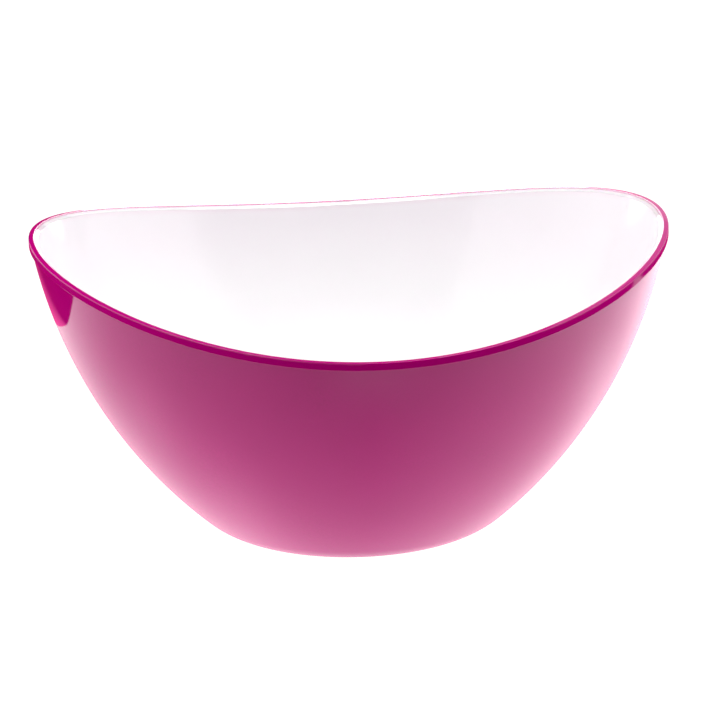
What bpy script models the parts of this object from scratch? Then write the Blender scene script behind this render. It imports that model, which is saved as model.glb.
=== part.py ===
"""A two-layer serving bowl with a saddle rim: a clear fuchsia outer shell moulded over an opaque white liner.

Metres, +Z up, the origin at the centre of the foot. The rim rises to a tip at +X and at -X and dips at +Y and -Y.
The bowl is round: every level section is a circle. The rim is where a parabolic cylinder along Y cuts the wall.
"""

import math

import bmesh
import bpy
import numpy as np

# Driving dimensions
TIP_RADIUS = 0.1400  # the rim's outer edge at a tip, so the bowl is 280 mm from tip to tip
TIP_HEIGHT = 0.1352  # the top of the rim at a tip
DIP_HEIGHT = 0.1120  # the top of the rim halfway between the tips
SHELL_WALL = 0.0016
LINER_WALL = 0.0014
GAP = 0.0003  # between the two layers

# The foot and the floors, from the ground up
WALL_FOOT = 0.0599  # the radius where the wall's line would meet the ground if the turn were sharp
FOOT_INNER = 0.0430  # inside it the underside is raised
FOOT_RISE = 0.0014
FOOT_TURN = 0.0120  # how far up the wall the round turn out of the floor ends
SHELL_FLOOR = 0.0032  # the top of the shell's floor
LINER_UNDERSIDE = SHELL_FLOOR + GAP
LINER_FLOOR = 0.0053

# The rim bead, measured from the body's outer surface and down from the top of the rim
BEAD_PROUD = 0.0004
BEAD_HEIGHT = 0.0035
BEAD_ROUND = 0.0009
BEAD_FOOT_ROUND = 0.0003
LIP_WIDTH = 0.0024  # the level top of the bead, with its outer round
LIP_THICKNESS = 0.0013  # over the liner's edge
LIP_ROUND = 0.0003

# The wall's outer profile, a cubic Bezier in radius and height from the foot to the tip
WALL = np.array(
    [
        (WALL_FOOT, 0.0),
        (0.0749, 0.0114),
        (0.1258, 0.0551),
        (TIP_RADIUS - BEAD_PROUD, TIP_HEIGHT),
    ]
)

# Resolution
MERIDIANS = 96
WALL_STEPS = 12
ROUND_STEPS = 3
FINE = 400  # samples of the wall's curve, from which even steps are read


def bezier(control, t):
    """The points at t of the Bezier curve through its control points, by repeated interpolation."""
    points = [np.outer(np.ones_like(t), p) for p in control]
    while len(points) > 1:
        points = [a + (b - a) * t[:, None] for a, b in zip(points, points[1:])]
    return points[0]


def wall_surface(inset):
    """Fine samples of the wall's profile, moved inward by inset along its normals."""
    t = np.linspace(0.0, 1.0, FINE)
    points = bezier(WALL, t)
    along = np.gradient(points, axis=0)
    along /= np.linalg.norm(along, axis=1, keepdims=True)
    outward = np.column_stack([along[:, 1], -along[:, 0]])
    return points - inset * outward


def radius_at(surface, height):
    """A wall surface's radius at a height. Above its last sample the wall runs straight on."""
    (r0, z0), (r1, z1) = surface[-2], surface[-1]
    if height > z1:
        return r1 + (height - z1) * (r1 - r0) / (z1 - z0)
    return float(np.interp(height, surface[:, 1], surface[:, 0]))


def rim_height(phi):
    """The top of the rim on the meridian at phi, where the wall meets the parabolic cylinder."""
    surface = wall_surface(0.0)
    height = DIP_HEIGHT
    for _ in range(20):
        across = (radius_at(surface, height) + BEAD_PROUD) * math.cos(phi) / TIP_RADIUS
        height = DIP_HEIGHT + (TIP_HEIGHT - DIP_HEIGHT) * across**2
    return height


def rounded(corner, before, after, size, steps=ROUND_STEPS):
    """A round in place of a corner: a quadratic Bezier that starts and ends size away from it."""
    corner, before, after = (np.array(p, dtype=float) for p in (corner, before, after))
    start = corner + size * (before - corner) / np.linalg.norm(before - corner)
    end = corner + size * (after - corner) / np.linalg.norm(after - corner)
    return [tuple(p) for p in bezier([start, corner, end], np.linspace(0.0, 1.0, steps + 1))]


def climb(inset, floor, top):
    """One wall surface from its floor up to a height: the round turn out of the floor, then even steps."""
    surface = wall_surface(inset)
    wall = surface[(surface[:, 1] > floor) & (surface[:, 1] < top)]
    wall = np.vstack([(radius_at(surface, floor), floor), wall, (radius_at(surface, top), top)])
    length = np.concatenate([[0.0], np.cumsum(np.linalg.norm(np.diff(wall, axis=0), axis=1))])
    even = np.linspace(FOOT_TURN, length[-1], WALL_STEPS + 1)
    steps = np.column_stack([np.interp(even, length, wall[:, 0]), np.interp(even, length, wall[:, 1])])
    here = np.searchsorted(length, FOOT_TURN)
    along = wall[here + 1] - wall[here - 2]
    corner = steps[0] - along * (steps[0][1] - floor) / along[1]
    turn = rounded(corner, (0.0, floor), steps[0], np.linalg.norm(steps[0] - corner))
    return turn + [tuple(p) for p in steps[1:]]


def shell_section(phi):
    """The outer shell's outline on one meridian, from under the foot, up the outside, over the rim and down."""
    top = rim_height(phi)
    edge = radius_at(wall_surface(0.0), top)
    underside = [(FOOT_INNER - 2 * FOOT_RISE, FOOT_RISE), (FOOT_INNER, 0.0)]
    outside = climb(0.0, 0.0, top - BEAD_HEIGHT)
    bead_foot = (edge + BEAD_PROUD, top - BEAD_HEIGHT)
    bead_edge = (edge + BEAD_PROUD, top)
    lip_edge = (edge + BEAD_PROUD - LIP_WIDTH, top)
    lip_bottom = top - LIP_THICKNESS
    lip_tip = (radius_at(wall_surface(SHELL_WALL + GAP + LINER_WALL), lip_bottom), lip_bottom)
    bead = rounded(bead_foot, outside[-1], bead_edge, BEAD_FOOT_ROUND, steps=1)
    bead += rounded(bead_edge, bead_foot, lip_edge, BEAD_ROUND)
    bead += rounded(lip_edge, bead_edge, lip_tip, LIP_ROUND, steps=1)
    bead += [lip_tip]
    inside = climb(SHELL_WALL, SHELL_FLOOR, lip_bottom)
    return underside + outside + bead + inside[::-1]


def liner_section(phi):
    """The liner's outline on one meridian, which ends under the lip of the shell's bead."""
    top = rim_height(phi) - LIP_THICKNESS - GAP
    outside = climb(SHELL_WALL + GAP, LINER_UNDERSIDE, top)
    inside = climb(SHELL_WALL + GAP + LINER_WALL, LINER_FLOOR, top)
    return outside + inside[::-1]


def loft(name, section, material, collection):
    """A closed piece lofted round the Z axis from its meridians, which differ because the rim rises and falls."""
    bm = bmesh.new()
    rings = []
    for i in range(MERIDIANS):
        phi = 2 * math.pi * i / MERIDIANS
        c, s = math.cos(phi), math.sin(phi)
        rings.append([bm.verts.new((r * c, r * s, z)) for r, z in section(phi)])
    low = bm.verts.new((0.0, 0.0, rings[0][0].co.z))
    high = bm.verts.new((0.0, 0.0, rings[0][-1].co.z))
    for here, there in zip(rings, rings[1:] + rings[:1]):
        bm.faces.new((low, there[0], here[0]))
        for j in range(len(here) - 1):
            bm.faces.new((here[j], there[j], there[j + 1], here[j + 1]))
        bm.faces.new((high, here[-1], there[-1]))
    mesh = bpy.data.meshes.new(name)
    bm.to_mesh(mesh)
    bm.free()
    mesh.shade_smooth()
    mesh.set_sharp_from_angle(angle=math.radians(35))
    mesh.materials.append(material)
    piece = bpy.data.objects.new(name, mesh)
    collection.objects.link(piece)
    return piece


def plastic(name, colour, roughness, transmission=0.0):
    """A moulded plastic."""
    material = bpy.data.materials.new(name)
    material.use_nodes = True
    shader = material.node_tree.nodes["Principled BSDF"]
    shader.inputs["Base Color"].default_value = (*colour, 1.0)
    shader.inputs["Roughness"].default_value = roughness
    shader.inputs["Metallic"].default_value = 0.0
    shader.inputs["Transmission Weight"].default_value = transmission
    return material


def main():
    for old in list(bpy.data.objects):
        bpy.data.objects.remove(old)
    bowl = bpy.data.collections.new("serving_bowl")
    bpy.context.scene.collection.children.link(bowl)
    fuchsia = plastic("fuchsia_clear", (0.52, 0.005, 0.19), 0.08, transmission=0.2)
    white = plastic("white_gloss", (0.90, 0.89, 0.90), 0.12)
    loft("outer_shell", shell_section, fuchsia, bowl)
    loft("inner_liner", liner_section, white, bowl)


main()
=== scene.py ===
"""The looks of the two-layer serving bowl: fine shells, moulded plastics, soft light and the camera.

Metres, +Z up, the origin at the centre of the foot. The fine shells follow the CAD's wall and rim, with
rounder edges. A section is the outline of a layer on one meridian, in radius and height.
"""

import math

import bpy
import numpy as np
from mathutils import Matrix, Vector


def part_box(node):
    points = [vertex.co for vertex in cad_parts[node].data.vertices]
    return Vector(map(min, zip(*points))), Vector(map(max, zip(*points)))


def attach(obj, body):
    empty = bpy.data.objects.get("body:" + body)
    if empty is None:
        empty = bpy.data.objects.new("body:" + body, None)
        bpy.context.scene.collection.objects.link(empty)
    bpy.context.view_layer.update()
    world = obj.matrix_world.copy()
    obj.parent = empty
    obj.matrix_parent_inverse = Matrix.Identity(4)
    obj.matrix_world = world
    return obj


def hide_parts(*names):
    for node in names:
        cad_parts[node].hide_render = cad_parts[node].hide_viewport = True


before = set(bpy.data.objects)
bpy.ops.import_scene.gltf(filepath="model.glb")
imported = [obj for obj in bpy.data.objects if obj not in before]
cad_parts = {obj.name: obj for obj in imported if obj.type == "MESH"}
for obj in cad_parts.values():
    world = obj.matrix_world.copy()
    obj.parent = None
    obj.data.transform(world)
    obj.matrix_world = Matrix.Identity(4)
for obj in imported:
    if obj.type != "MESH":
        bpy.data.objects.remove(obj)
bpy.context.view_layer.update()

# ---------------------------------------------------------------- the bowl's sizes, as the CAD has them
TIP_RADIUS, _, TIP_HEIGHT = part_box("outer_shell")[1]  # the rim's outer edge and its top, at a tip
DIP_HEIGHT = 0.1120  # the top of the rim halfway between the tips
SHELL_WALL = 0.0016
LINER_WALL = 0.0014
GAP = 0.0003  # between the two layers

WALL_FOOT = 0.0599  # the radius where the wall's line would meet the ground if the turn were sharp
FOOT_INNER = 0.0430  # inside it the underside is raised
FOOT_RISE = 0.0014
FOOT_TURN = 0.0120  # how far up the wall the round turn out of the floor ends
SHELL_FLOOR = 0.0032  # the top of the shell's floor
LINER_FLOOR = 0.0053

BEAD_PROUD = 0.0004  # how far the rim bead stands out from the body
BEAD_HEIGHT = 0.0035
LIP_WIDTH = 0.0024  # the level top of the bead, with its outer round
LIP_THICKNESS = 0.0013  # over the liner's edge

# The wall's outer profile, a cubic Bezier in radius and height from the foot to the tip
WALL = np.array(
    [
        (WALL_FOOT, 0.0),
        (0.0749, 0.0114),
        (0.1258, 0.0551),
        (TIP_RADIUS - BEAD_PROUD, TIP_HEIGHT),
    ]
)

# How far inside the body's outer surface each face of the two walls lies
SHELL_OUTSIDE = 0.0
SHELL_INSIDE = SHELL_WALL
LINER_OUTSIDE = SHELL_WALL + GAP
LINER_INSIDE = SHELL_WALL + GAP + LINER_WALL

# ---------------------------------------------------------------- what the fine shells add
GATE_RADIUS = 0.0030  # the mould's gate mark, in the middle of the underside
GATE_DEPTH = 0.0004
FOOT_ROUND = 0.0008  # at the two corners of the foot ring's inner step
STEP_MARGIN = 0.0020  # the even steps under the floor end this far before the foot ring's step
LAND_MARGIN = 0.0005  # the even steps on the foot ring end this far before the turn into the wall
BEAD_ROUND = 0.0006  # the bead's outer top edge
BEAD_FOOT_ROUND = 0.0004  # the bead's lower edge
FILLET = 0.0004  # where the body meets the ledge under the bead
LEDGE_SHARE = 0.45  # the most of that ledge that either of these two rounds may take
PAST_ROUND = 1.1  # an even run on the bead ends this many times the round's size before a corner
LIP_ROUND = 0.0006
LIP_HOOK = 0.00027  # the lip's tip reaches this much further down than the CAD's, to close the seam

# The film is how much fuchsia lies at a point: 1 on the body, less where the lip thins out over the white
LIP_FILM = 0.35  # at the end of the lip's round
SLOPE_FILM = 0.7  # the share of it that is left at the start of the lip's slope
SLOPE_FADE = 3  # the power by which it fades to nothing down the slope
LINER_REACH = 0.006  # how far below its edge the liner shows painted pink light from the lip

# Resolution
MERIDIANS = 384
WALL_STEPS = 70
ROUND_STEPS = 8
TURN_STEPS = 44
SLOPE_STEPS = 6
FINE = 2000  # samples of the wall's curve, from which even steps are read
HEIGHT_PASSES = 12  # of working out the rim's height, which settles well within them
SHARP_ANGLE = math.radians(50)


# ---------------------------------------------------------------- the fine shells
def bezier(control, t):
    """The points at t of the Bezier curve through its control points, by repeated interpolation."""
    points = [np.outer(np.ones_like(t), p) for p in control]
    while len(points) > 1:
        points = [a + (b - a) * t[:, None] for a, b in zip(points, points[1:])]
    return points[0]


def wall_surface(inset):
    """Fine samples of the wall's profile, moved inward by inset along its normals."""
    points = bezier(WALL, np.linspace(0.0, 1.0, FINE))
    along = np.gradient(points, axis=0)
    along /= np.linalg.norm(along, axis=1, keepdims=True)
    outward = np.column_stack([along[:, 1], -along[:, 0]])
    return points - inset * outward


SURFACES = {
    inset: wall_surface(inset)
    for inset in (SHELL_OUTSIDE, SHELL_INSIDE, LINER_OUTSIDE, LINER_INSIDE)
}


def radius_at(inset, height):
    """A wall surface's radius at a height. Above its last sample the wall runs straight on."""
    surface = SURFACES[inset]
    (r0, z0), (r1, z1) = surface[-2], surface[-1]
    if height > z1:
        return r1 + (height - z1) * (r1 - r0) / (z1 - z0)
    return float(np.interp(height, surface[:, 1], surface[:, 0]))


def rim_height(phi):
    """The top of the rim on the meridian at phi, where the wall meets a parabolic cylinder along Y."""
    height = DIP_HEIGHT
    for _ in range(HEIGHT_PASSES):
        across = (radius_at(SHELL_OUTSIDE, height) + BEAD_PROUD) * math.cos(phi) / TIP_RADIUS
        height = DIP_HEIGHT + (TIP_HEIGHT - DIP_HEIGHT) * across**2
    return height


def rounded(corner, before, after, size, steps=ROUND_STEPS):
    """A round in place of a corner: a quadratic Bezier that starts and ends size away from it."""
    corner, before, after = (np.array(p, dtype=float) for p in (corner, before, after))
    start = corner + size * (before - corner) / np.linalg.norm(before - corner)
    end = corner + size * (after - corner) / np.linalg.norm(after - corner)
    return [tuple(p) for p in bezier([start, corner, end], np.linspace(0.0, 1.0, steps + 1))]


def straight(start, end, steps):
    """Points in even steps from start to end, without start itself."""
    return [tuple(p) for p in np.linspace(start, end, steps + 1)[1:]]


def climb(inset, floor, top):
    """One wall surface from its floor up to a height: the round turn out of the floor, then even steps."""
    surface = SURFACES[inset]
    wall = surface[(surface[:, 1] > floor) & (surface[:, 1] < top)]
    wall = np.vstack([(radius_at(inset, floor), floor), wall, (radius_at(inset, top), top)])
    length = np.concatenate([[0.0], np.cumsum(np.linalg.norm(np.diff(wall, axis=0), axis=1))])
    even = np.linspace(FOOT_TURN, length[-1], WALL_STEPS + 1)
    steps = np.column_stack([np.interp(even, length, wall[:, 0]), np.interp(even, length, wall[:, 1])])
    here = np.searchsorted(length, FOOT_TURN)
    along = wall[here + 3] - wall[here - 4]
    corner = steps[0] - along * (steps[0][1] - floor) / along[1]
    turn = rounded(corner, (0.0, floor), steps[0], np.linalg.norm(steps[0] - corner), TURN_STEPS)
    return turn + [tuple(p) for p in steps[1:]]


def underside(land_end):
    """Under the foot, from the middle out: the gate mark, the raised floor, the step and the foot ring."""
    gate_top = FOOT_RISE + GATE_DEPTH
    gate_edge = GATE_RADIUS + GATE_DEPTH
    step_top = (FOOT_INNER - 2 * FOOT_RISE, FOOT_RISE)
    step_foot = (FOOT_INNER, 0.0)
    under = straight((0.0, gate_top), (GATE_RADIUS, gate_top), steps=3)
    under += straight((GATE_RADIUS, gate_top), (gate_edge, FOOT_RISE), steps=3)
    under += straight((gate_edge, FOOT_RISE), (step_top[0] - STEP_MARGIN, FOOT_RISE), steps=10)
    under += rounded(step_top, (0.0, FOOT_RISE), step_foot, FOOT_ROUND)
    under += rounded(step_foot, step_top, land_end, FOOT_ROUND)
    under += straight(under[-1], (land_end[0] - LAND_MARGIN, 0.0), steps=3)
    return under


def bead_outline(top, body_end):
    """The rim bead, from the end of the body's wall, out over the ledge, up and over to the lip."""
    edge = radius_at(SHELL_OUTSIDE, top) + BEAD_PROUD
    root = (radius_at(SHELL_OUTSIDE, top - BEAD_HEIGHT), top - BEAD_HEIGHT)
    foot = (edge, top - BEAD_HEIGHT)
    corner = (edge, top)
    lip_edge = (edge - LIP_WIDTH, top)
    ledge = foot[0] - root[0]
    bead = rounded(root, body_end, foot, min(FILLET, LEDGE_SHARE * ledge))
    bead += rounded(foot, root, corner, min(BEAD_FOOT_ROUND, LEDGE_SHARE * ledge))
    bead += straight(bead[-1], (edge, top - PAST_ROUND * BEAD_ROUND), steps=5)
    bead += rounded(corner, foot, lip_edge, BEAD_ROUND)
    bead += straight(bead[-1], (lip_edge[0] + PAST_ROUND * LIP_ROUND, top), steps=2)
    return bead, corner, lip_edge


def shell_section(phi):
    """The outer shell's section at phi, from under the foot, over the rim and down again, and its film."""
    top = rim_height(phi)
    lip_bottom = top - LIP_THICKNESS
    seam = lip_bottom - LIP_HOOK
    lip_tip = (radius_at(LINER_INSIDE, seam), seam)
    outside = climb(SHELL_OUTSIDE, 0.0, top - BEAD_HEIGHT - FILLET)
    under = underside(outside[0])
    bead, corner, lip_edge = bead_outline(top, outside[-1])
    lip = rounded(lip_edge, corner, lip_tip, LIP_ROUND)
    slope = straight(lip[-1], lip_tip, SLOPE_STEPS)
    inside = climb(SHELL_INSIDE, SHELL_FLOOR, lip_bottom)[::-1]
    film = np.concatenate(
        [
            np.ones(len(under + outside + bead)),
            np.linspace(1.0, LIP_FILM, len(lip)),
            LIP_FILM * np.linspace(SLOPE_FILM, 0.0, len(slope)) ** SLOPE_FADE,
            np.ones(len(inside)),
        ]
    )
    return under + outside + bead + lip + slope + inside, film


def liner_section(phi):
    """The liner's section at phi. Its film says how near a point is to the shell's lip: 1 is at the lip."""
    top = rim_height(phi) - LIP_THICKNESS - GAP
    outside = climb(LINER_OUTSIDE, SHELL_FLOOR + GAP, top)
    inside = climb(LINER_INSIDE, LINER_FLOOR, top)[::-1]
    section = outside + inside
    film = np.clip(1.0 - (top - np.array([z for _, z in section])) / LINER_REACH, 0.0, 1.0)
    return section, film


def loft(name, section):
    """A closed piece lofted round the Z axis from its sections. Its film is kept as a point attribute."""
    angles = [2 * math.pi * i / MERIDIANS for i in range(MERIDIANS)]
    sections = [section(phi) for phi in angles]
    first, _ = sections[0]
    count = len(first)
    points, film = [], []
    for phi, (outline, values) in zip(angles, sections):
        points += [(r * math.cos(phi), r * math.sin(phi), z) for r, z in outline]
        film += list(values)
    low, high = len(points), len(points) + 1
    points += [(0.0, 0.0, first[0][1]), (0.0, 0.0, first[-1][1])]
    film += [1.0, 0.0]
    faces = []
    for i in range(MERIDIANS):
        here, there = i * count, (i + 1) % MERIDIANS * count
        faces.append((low, there, here))
        faces += [(here + j, there + j, there + j + 1, here + j + 1) for j in range(count - 1)]
        faces.append((high, here + count - 1, there + count - 1))
    mesh = bpy.data.meshes.new(name)
    mesh.from_pydata(points, [], faces)
    mesh.attributes.new("film", "FLOAT", "POINT").data.foreach_set("value", film)
    mesh.shade_smooth()
    mesh.set_sharp_from_angle(angle=SHARP_ANGLE)
    piece = bpy.data.objects.new(name, mesh)
    bpy.context.scene.collection.objects.link(piece)
    return piece


# ---------------------------------------------------------------- materials
NOISE_SPAN = (0.3, 0.7)  # where nearly all of a noise's values lie
GRAIN_SPAN = (0.35, 0.65)  # narrower, for a crisper grain

# Clear fuchsia plastic: the thick film, which flow waves and grain vary, and the thinnest over the white
FLOW_FUCHSIA = ((0.51, 0.0, 0.195), (0.57, 0.0, 0.220))
GRAIN_FUCHSIA = (0.54, 0.0, 0.208)
THIN_FUCHSIA = (0.96, 0.90, 0.94)
FUCHSIA_ROUGHNESS = (0.035, 0.065)
FUCHSIA_SHEEN = (1.0, 0.02, 0.32, 1.0)  # the glow of the clear layer at grazing angles

# White plastic, with painted pink bounce light high up the wall, and stronger painted pink light beside the
# lip
FLOW_WHITE = ((0.94, 0.920, 0.935), (0.96, 0.940, 0.955))
# painted pink bounce light, high up the wall
PAINTED_PINK_LIGHT_HIGH = (0.94, 0.875, 0.925)
PAINTED_PINK_HEIGHTS = (0.075, 0.105)  # the heights between which it comes in
PAINTED_PINK_SHARE = 0.7
# painted pink light that comes through the clear lip, on the liner beside it
PAINTED_LIP_PINK_LIGHT = (0.95, 0.70, 0.82)
PAINTED_LIP_FILMS = (0.6, 1.0)  # the film between which it comes in
PAINTED_LIP_SHARE = 0.25
WHITE_ROUGHNESS = (0.09, 0.15)


class Nodes:
    """One material's node tree, and short names for what builds it."""

    def __init__(self, name):
        self.material = bpy.data.materials.new(name)
        self.material.use_nodes = True
        self.tree = self.material.node_tree
        self.shader = self.tree.nodes["Principled BSDF"]
        self.place = self.add("ShaderNodeTexCoord").outputs["Object"]

    def add(self, kind, **settings):
        node = self.tree.nodes.new(kind)
        for key, value in settings.items():
            setattr(node, key, value)
        return node

    def link(self, source, target):
        self.tree.links.new(source, target)

    def height(self):
        """The height of the place that is shaded."""
        split = self.add("ShaderNodeSeparateXYZ")
        self.link(self.place, split.inputs[0])
        return split.outputs["Z"]

    def film(self):
        return self.add("ShaderNodeAttribute", attribute_name="film").outputs["Fac"]

    def noise(self, scale, detail):
        node = self.add("ShaderNodeTexNoise")
        node.inputs["Scale"].default_value = scale
        node.inputs["Detail"].default_value = detail
        self.link(self.place, node.inputs["Vector"])
        return node.outputs["Fac"]

    def ramp(self, value, span, to=(0.0, 1.0)):
        """A value's span mapped to another, and held at its ends."""
        node = self.add("ShaderNodeMapRange")
        for key, number in zip(("From Min", "From Max", "To Min", "To Max"), (*span, *to)):
            node.inputs[key].default_value = number
        self.link(value, node.inputs["Value"])
        return node.outputs["Result"]

    def mix(self, factor, a, b):
        """From colour a to colour b by a factor. Each is a colour or a socket that gives one."""
        node = self.add("ShaderNodeMix", data_type="RGBA")
        self.link(factor, node.inputs["Factor"])
        for socket, colour in ((node.inputs["A"], a), (node.inputs["B"], b)):
            if isinstance(colour, tuple):
                socket.default_value = (*colour, 1.0)
            else:
                self.link(colour, socket)
        return node.outputs["Result"]

    def bump(self, flow, grain, grain_share, depth):
        """Flow waves with some grain on them, as relief of a depth."""
        relief = self.add("ShaderNodeMath", operation="MULTIPLY_ADD")
        self.link(grain, relief.inputs[0])
        relief.inputs[1].default_value = grain_share
        self.link(flow, relief.inputs[2])
        node = self.add("ShaderNodeBump")
        node.inputs["Strength"].default_value = 1.0
        node.inputs["Distance"].default_value = depth
        self.link(relief.outputs[0], node.inputs["Height"])
        self.link(node.outputs["Normal"], self.shader.inputs["Normal"])

    def set(self, **values):
        """Values of the shader's own sockets, with _ for each space in a socket's name."""
        for key, value in values.items():
            self.shader.inputs[key.replace("_", " ")].default_value = value


def fuchsia_plastic():
    """Clear fuchsia plastic over white: deep where it is thick, pale pink where the lip thins out."""
    n = Nodes("fuchsia_plastic")
    flow = n.noise(scale=22.0, detail=3.0)
    grain = n.noise(scale=900.0, detail=1.0)
    deep = n.mix(n.ramp(flow, NOISE_SPAN), *FLOW_FUCHSIA)
    deep = n.mix(n.ramp(grain, GRAIN_SPAN), deep, GRAIN_FUCHSIA)
    n.link(n.mix(n.film(), THIN_FUCHSIA, deep), n.shader.inputs["Base Color"])
    polish = n.noise(scale=60.0, detail=4.0)
    n.link(n.ramp(polish, NOISE_SPAN, FUCHSIA_ROUGHNESS), n.shader.inputs["Roughness"])
    n.bump(flow, grain, grain_share=0.02, depth=0.00006)
    n.set(Sheen_Weight=1.0, Sheen_Roughness=0.25, Sheen_Tint=FUCHSIA_SHEEN)
    n.set(IOR=1.52)
    n.set(Subsurface_Weight=0.12, Subsurface_Radius=(0.003, 0.0004, 0.0012), Subsurface_Scale=1.0)
    return n.material


def white_plastic():
    """Opaque white plastic, with painted pink light towards the rim: bounce light high up the wall, and
    light through the clear lip beside it.
    """
    n = Nodes("white_plastic")
    flow = n.noise(scale=18.0, detail=3.0)
    grain = n.noise(scale=700.0, detail=1.0)
    white = n.mix(n.ramp(flow, NOISE_SPAN), *FLOW_WHITE)
    # painted pink bounce light, mixed in high up the wall
    white = n.mix(n.ramp(n.height(), PAINTED_PINK_HEIGHTS, (0.0, PAINTED_PINK_SHARE)), white, PAINTED_PINK_LIGHT_HIGH)
    # painted pink light through the clear lip, near the liner's edge
    white = n.mix(n.ramp(n.film(), PAINTED_LIP_FILMS, (0.0, PAINTED_LIP_SHARE)), white, PAINTED_LIP_PINK_LIGHT)
    n.link(white, n.shader.inputs["Base Color"])
    polish = n.noise(scale=55.0, detail=4.0)
    n.link(n.ramp(polish, NOISE_SPAN, WHITE_ROUGHNESS), n.shader.inputs["Roughness"])
    n.bump(flow, grain, grain_share=0.03, depth=0.00005)
    n.set(IOR=1.49)
    n.set(Subsurface_Weight=0.1, Subsurface_Radius=(0.002, 0.0016, 0.0018), Subsurface_Scale=1.0)
    return n.material


# ---------------------------------------------------------------- pieces
shell = loft("outer_shell_fine", shell_section)
shell.data.materials.append(fuchsia_plastic())
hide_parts("outer_shell")
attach(shell, "root")

liner = loft("inner_liner_fine", liner_section)
liner.data.materials.append(white_plastic())
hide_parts("inner_liner")
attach(liner, "root")

# ---------------------------------------------------------------- camera
TARGET = Vector((0.0, 0.0, 0.06024))
ELEVATION = math.radians(17.065)
AZIMUTH = math.radians(-6.04)  # from -Y towards +X
ROLL = math.radians(-1.212)
DISTANCE = 1.7993
LENS, SENSOR = 205.957, 36.0  # millimetres
SHIFT = (0.0035, 0.0477)


def add_camera():
    """The camera, which looks at the bowl from the front, a little from the left and above."""
    level = math.cos(ELEVATION)
    back = Vector((math.sin(AZIMUTH) * level, -math.cos(AZIMUTH) * level, math.sin(ELEVATION)))
    right = (-back).cross(Vector((0, 0, 1))).normalized()
    up = right.cross(-back)
    right, up = (
        math.cos(ROLL) * right + math.sin(ROLL) * up,
        -math.sin(ROLL) * right + math.cos(ROLL) * up,
    )
    data = bpy.data.cameras.new("camera")
    data.sensor_width = SENSOR
    data.lens = LENS
    data.shift_x, data.shift_y = SHIFT
    data.clip_end = 50.0
    camera = bpy.data.objects.new("camera", data)
    turn = Matrix((right, up, back)).transposed().to_4x4()
    camera.matrix_world = Matrix.Translation(TARGET + DISTANCE * back) @ turn
    bpy.context.scene.collection.objects.link(camera)
    bpy.context.scene.camera = camera


# ---------------------------------------------------------------- stage and light
# The light table is turned about Z. Along runs to the back right, and across to the front right.
TABLE_TURN = math.radians(49.5)
TABLE_ALONG = (-0.27, 0.45)
TABLE_ACROSS = (-0.288, 0.33)
TABLE_DROP = 0.0005  # below the foot
TABLE_STEPS = 80

# The table's far edge, which has a rounded corner between two straight runs
CORNER_ALONG = -0.02
CORNER_ROUND = 0.09
CORNER_CURVE = 3.6  # the corner falls away by this times the square of the way along
LEAN_BEFORE = 0.32  # how far each straight run leans away for each metre along
LEAN_AFTER = 0.14

# How brightly the table glows in the middle, and how much more or less for each metre away from it
TABLE_RADIANCE = 0.48
MORE_TO_RIGHT = 5.0
RIGHT_END = 0.3  # beyond this X it falls again
LESS_BEYOND = 6.0
MORE_TO_LEFT = 2.8
MORE_TO_BACK = 2.3

# Where light gathers on the table: centre, strength and radius
GLOWS = (
    ((0.0, 0.0), 0.76, 0.13),
    ((0.0, -0.23), 0.5, 0.05),
    ((0.20, 0.0), 0.40, 0.055),
    ((-0.16, -0.02), 0.2, 0.05),
    ((-0.07, -0.06), 0.2, 0.025),
)

# The bowl's pink cast on what lies beyond the table's far edge
BLUSH_END = 0.30
BLUSH_FLARE = 0.85  # how much further out it reaches for each metre along
BLUSH_TINT = (1.0, 0.16, 0.42, 1.0)
BLUSH_RADIANCE = 1.4
BLUSH_STEPS = 10

# Soft panels on a dome round the bowl: degrees clockwise from +Y, degrees above the table, and radiance
DOME_RADIUS = 1.7
DOME_CENTRE = 0.06
PANEL_STEPS = (12, 6)
SOFTBOXES = {
    "top_left": ((-135, -45), (68, 90), 6.5),
    "top_right": ((45, 135), (68, 90), 6.95),
    "over_right": ((60, 120), (45, 70), 3.2),
    "over_left": ((-120, -60), (45, 70), 1.3),
    "over_camera": ((120, 240), (45, 70), 1.1),
    "side_left": ((-120, -50), (2, 45), 1.5),
    "side_left_low": ((-120, -50), (-12, 2), 1.25),
    "side_right": ((50, 120), (2, 45), 1.3),
    "side_right_low": ((50, 120), (-12, 2), 0.7),
    "back_left": ((-50, -20), (-12, 24), 1.0),
    "back_right_low": ((20, 50), (-12, 14), 0.85),
    "back_right": ((30, 50), (14, 45), 0.5),
    "camera_left": ((-165, -120), (2, 45), 0.25),
    "camera_left_low": ((-180, -120), (-12, 2), 1.1),
}

# Cards close behind the bowl: from and to along X, the bottom, the top at X = 0 and at most, and radiance
CARD_BEHIND = 0.30
CARD_RISE = 5.1  # the top rises by this times the square of X
CARD_STEPS = (40, 4)
CARDS = {
    "back_card": ((-0.100, 0.15), (0.05, 0.158, 0.25), 5.0),
    "right_card": ((0.15, 0.40), (0.05, 0.158, 0.25), 0.7),
    "right_high_card": ((0.10, 0.40), (0.25, 0.40, 0.40), 0.5),
}

FLOOR_REACH = 6.0
FLOOR_RADIANCE = 1.15


def glow(name, radiance, tint=(1.0, 1.0, 1.0, 1.0)):
    """A plain glow. A radiance that is a word names the point attribute that holds it."""
    material = bpy.data.materials.new(name)
    material.use_nodes = True
    tree = material.node_tree
    tree.nodes.clear()
    out = tree.nodes.new("ShaderNodeOutputMaterial")
    emit = tree.nodes.new("ShaderNodeEmission")
    tree.links.new(emit.outputs["Emission"], out.inputs["Surface"])
    emit.inputs["Color"].default_value = tint
    if isinstance(radiance, str):
        level = tree.nodes.new("ShaderNodeAttribute")
        level.attribute_name = radiance
        tree.links.new(level.outputs["Fac"], emit.inputs["Strength"])
    else:
        emit.inputs["Strength"].default_value = radiance
    return material


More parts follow.
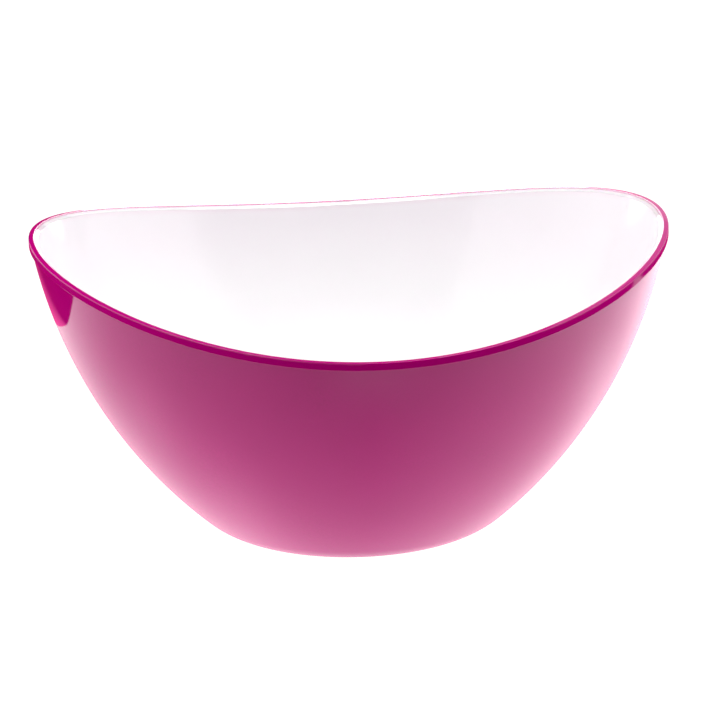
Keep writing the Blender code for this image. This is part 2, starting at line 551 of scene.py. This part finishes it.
def stage_grid(name, place, steps, material):
    """A stage surface that the camera doesn't see. place(i, j) gives the point at shares i and j of it."""
    columns, rows = steps
    corners = [place(i / columns, j / rows) for i in range(columns + 1) for j in range(rows + 1)]
    starts = [i * (rows + 1) + j for i in range(columns) for j in range(rows)]
    faces = [(k, k + rows + 1, k + rows + 2, k + 1) for k in starts]
    mesh = bpy.data.meshes.new(name)
    mesh.from_pydata(corners, [], faces)
    mesh.materials.append(material)
    piece = bpy.data.objects.new(name, mesh)
    bpy.context.scene.collection.objects.link(piece)
    piece.visible_camera = False
    piece.visible_shadow = False
    return piece


def set_radiance(piece, levels):
    """Keep a stage surface's radiance at its points."""
    piece.data.attributes.new("radiance", "FLOAT", "POINT").data.foreach_set("value", levels)


def on_table(a, b):
    """The point a metres along the table and b metres across it."""
    along = Vector((math.cos(TABLE_TURN), math.sin(TABLE_TURN), 0.0))
    across = Vector((math.sin(TABLE_TURN), -math.cos(TABLE_TURN), 0.0))
    return along * a + across * b - Vector((0.0, 0.0, TABLE_DROP))


def table_edge(a):
    """How far across the table its far edge is, a metres along it."""
    before = max(CORNER_ALONG - a, 0.0)
    after = max(a - CORNER_ALONG, 0.0)
    corner = CORNER_CURVE * min(before, CORNER_ROUND) ** 2
    runs = LEAN_BEFORE * max(before - CORNER_ROUND, 0.0) + LEAN_AFTER * after
    return TABLE_ACROSS[0] - corner - runs


def table_radiance(x, y):
    """How brightly the table glows: more to the sides and the back, and where light gathers."""
    right = MORE_TO_RIGHT * min(max(x, 0.0), RIGHT_END) - LESS_BEYOND * max(x - RIGHT_END, 0.0)
    sides = right + MORE_TO_LEFT * max(-x, 0.0) + MORE_TO_BACK * max(y, 0.0)
    glows = sum(k * math.exp(-((x - a) ** 2 + (y - b) ** 2) / r**2) for (a, b), k, r in GLOWS)
    return TABLE_RADIANCE + sides + glows


def add_table():
    """The light table that the bowl stands on, as its light and its mirror image in the gloss."""

    def place(i, j):
        a = TABLE_ALONG[0] + i * (TABLE_ALONG[1] - TABLE_ALONG[0])
        edge = table_edge(a)
        return on_table(a, edge + j * (TABLE_ACROSS[1] - edge))

    table = stage_grid("table_light", place, (TABLE_STEPS, TABLE_STEPS), glow("table_glow", "radiance"))
    set_radiance(table, [table_radiance(v.co.x, v.co.y) for v in table.data.vertices])


def add_blush():
    """The pink cast beyond the table, which fades away from its edge."""

    def place(i, j):
        a = CORNER_ALONG + i * (BLUSH_END - CORNER_ALONG)
        edge = table_edge(a)
        far = TABLE_ACROSS[0] - BLUSH_FLARE * (a - CORNER_ALONG)
        return on_table(a, far + j * (edge - far))

    material = glow("blush_glow", "radiance", BLUSH_TINT)
    blush = stage_grid("table_blush", place, (TABLE_STEPS, BLUSH_STEPS), material)
    fade = [BLUSH_RADIANCE * j / BLUSH_STEPS for j in range(BLUSH_STEPS + 1)]
    set_radiance(blush, fade * (TABLE_STEPS + 1))


def add_softbox(name, azimuths, elevations, radiance):
    """A soft panel: a patch of a dome round the bowl."""

    def place(i, j):
        azimuth = math.radians(azimuths[0] + i * (azimuths[1] - azimuths[0]))
        elevation = math.radians(elevations[0] + j * (elevations[1] - elevations[0]))
        level = DOME_RADIUS * math.cos(elevation)
        height = DOME_CENTRE + DOME_RADIUS * math.sin(elevation)
        return (level * math.sin(azimuth), level * math.cos(azimuth), height)

    stage_grid(name, place, PANEL_STEPS, glow(name + "_glow", radiance))


def add_card(name, along, heights, radiance):
    """A card close behind the bowl. Its top may follow the rim's rise, out of the near rim's gloss."""
    bottom, middle, highest = heights

    def place(i, j):
        x = along[0] + i * (along[1] - along[0])
        top = min(middle + CARD_RISE * x * x, highest)
        return (x, CARD_BEHIND, bottom + j * (top - bottom))

    stage_grid(name, place, CARD_STEPS, glow(name + "_glow", radiance))


def floor_material():
    """A pale glow on the upper side. The lower side is clear, so that the bowl's underside can be seen."""
    material = glow("floor_white", FLOOR_RADIANCE)
    tree = material.node_tree
    side = tree.nodes.new("ShaderNodeNewGeometry")
    clear = tree.nodes.new("ShaderNodeBsdfTransparent")
    choose = tree.nodes.new("ShaderNodeMixShader")
    tree.links.new(side.outputs["Backfacing"], choose.inputs[0])
    tree.links.new(tree.nodes["Emission"].outputs["Emission"], choose.inputs[1])
    tree.links.new(clear.outputs["BSDF"], choose.inputs[2])
    tree.links.new(choose.outputs["Shader"], tree.nodes["Material Output"].inputs["Surface"])
    return material


def add_floor():
    """The pale floor that the camera sees. It lights nothing: the table, the panels and the cards do."""
    mesh = bpy.data.meshes.new("floor")
    corners = [(i * FLOOR_REACH, j * FLOOR_REACH, 0.0) for i, j in ((-1, -1), (1, -1), (1, 1), (-1, 1))]
    mesh.from_pydata(corners, [], [(0, 1, 2, 3)])
    mesh.materials.append(floor_material())
    piece = bpy.data.objects.new("floor", mesh)
    bpy.context.scene.collection.objects.link(piece)
    piece.visible_diffuse = False
    piece.visible_glossy = False
    piece.visible_transmission = False
    piece.visible_shadow = False


def add_world():
    """White behind the bowl for the camera alone."""
    world = bpy.data.worlds.new("studio")
    bpy.context.scene.world = world
    world.use_nodes = True
    tree = world.node_tree
    background = tree.nodes["Background"]
    background.inputs["Color"].default_value = (1.0, 1.0, 1.0, 1.0)
    path = tree.nodes.new("ShaderNodeLightPath")
    tree.links.new(path.outputs["Is Camera Ray"], background.inputs["Strength"])


add_camera()
add_table()
add_blush()
for softbox, (azimuths, elevations, radiance) in SOFTBOXES.items():
    add_softbox(softbox, azimuths, elevations, radiance)
for card, (along, heights, radiance) in CARDS.items():
    add_card(card, along, heights, radiance)
add_floor()
add_world()
bpy.context.scene.view_settings.view_transform = "Standard"
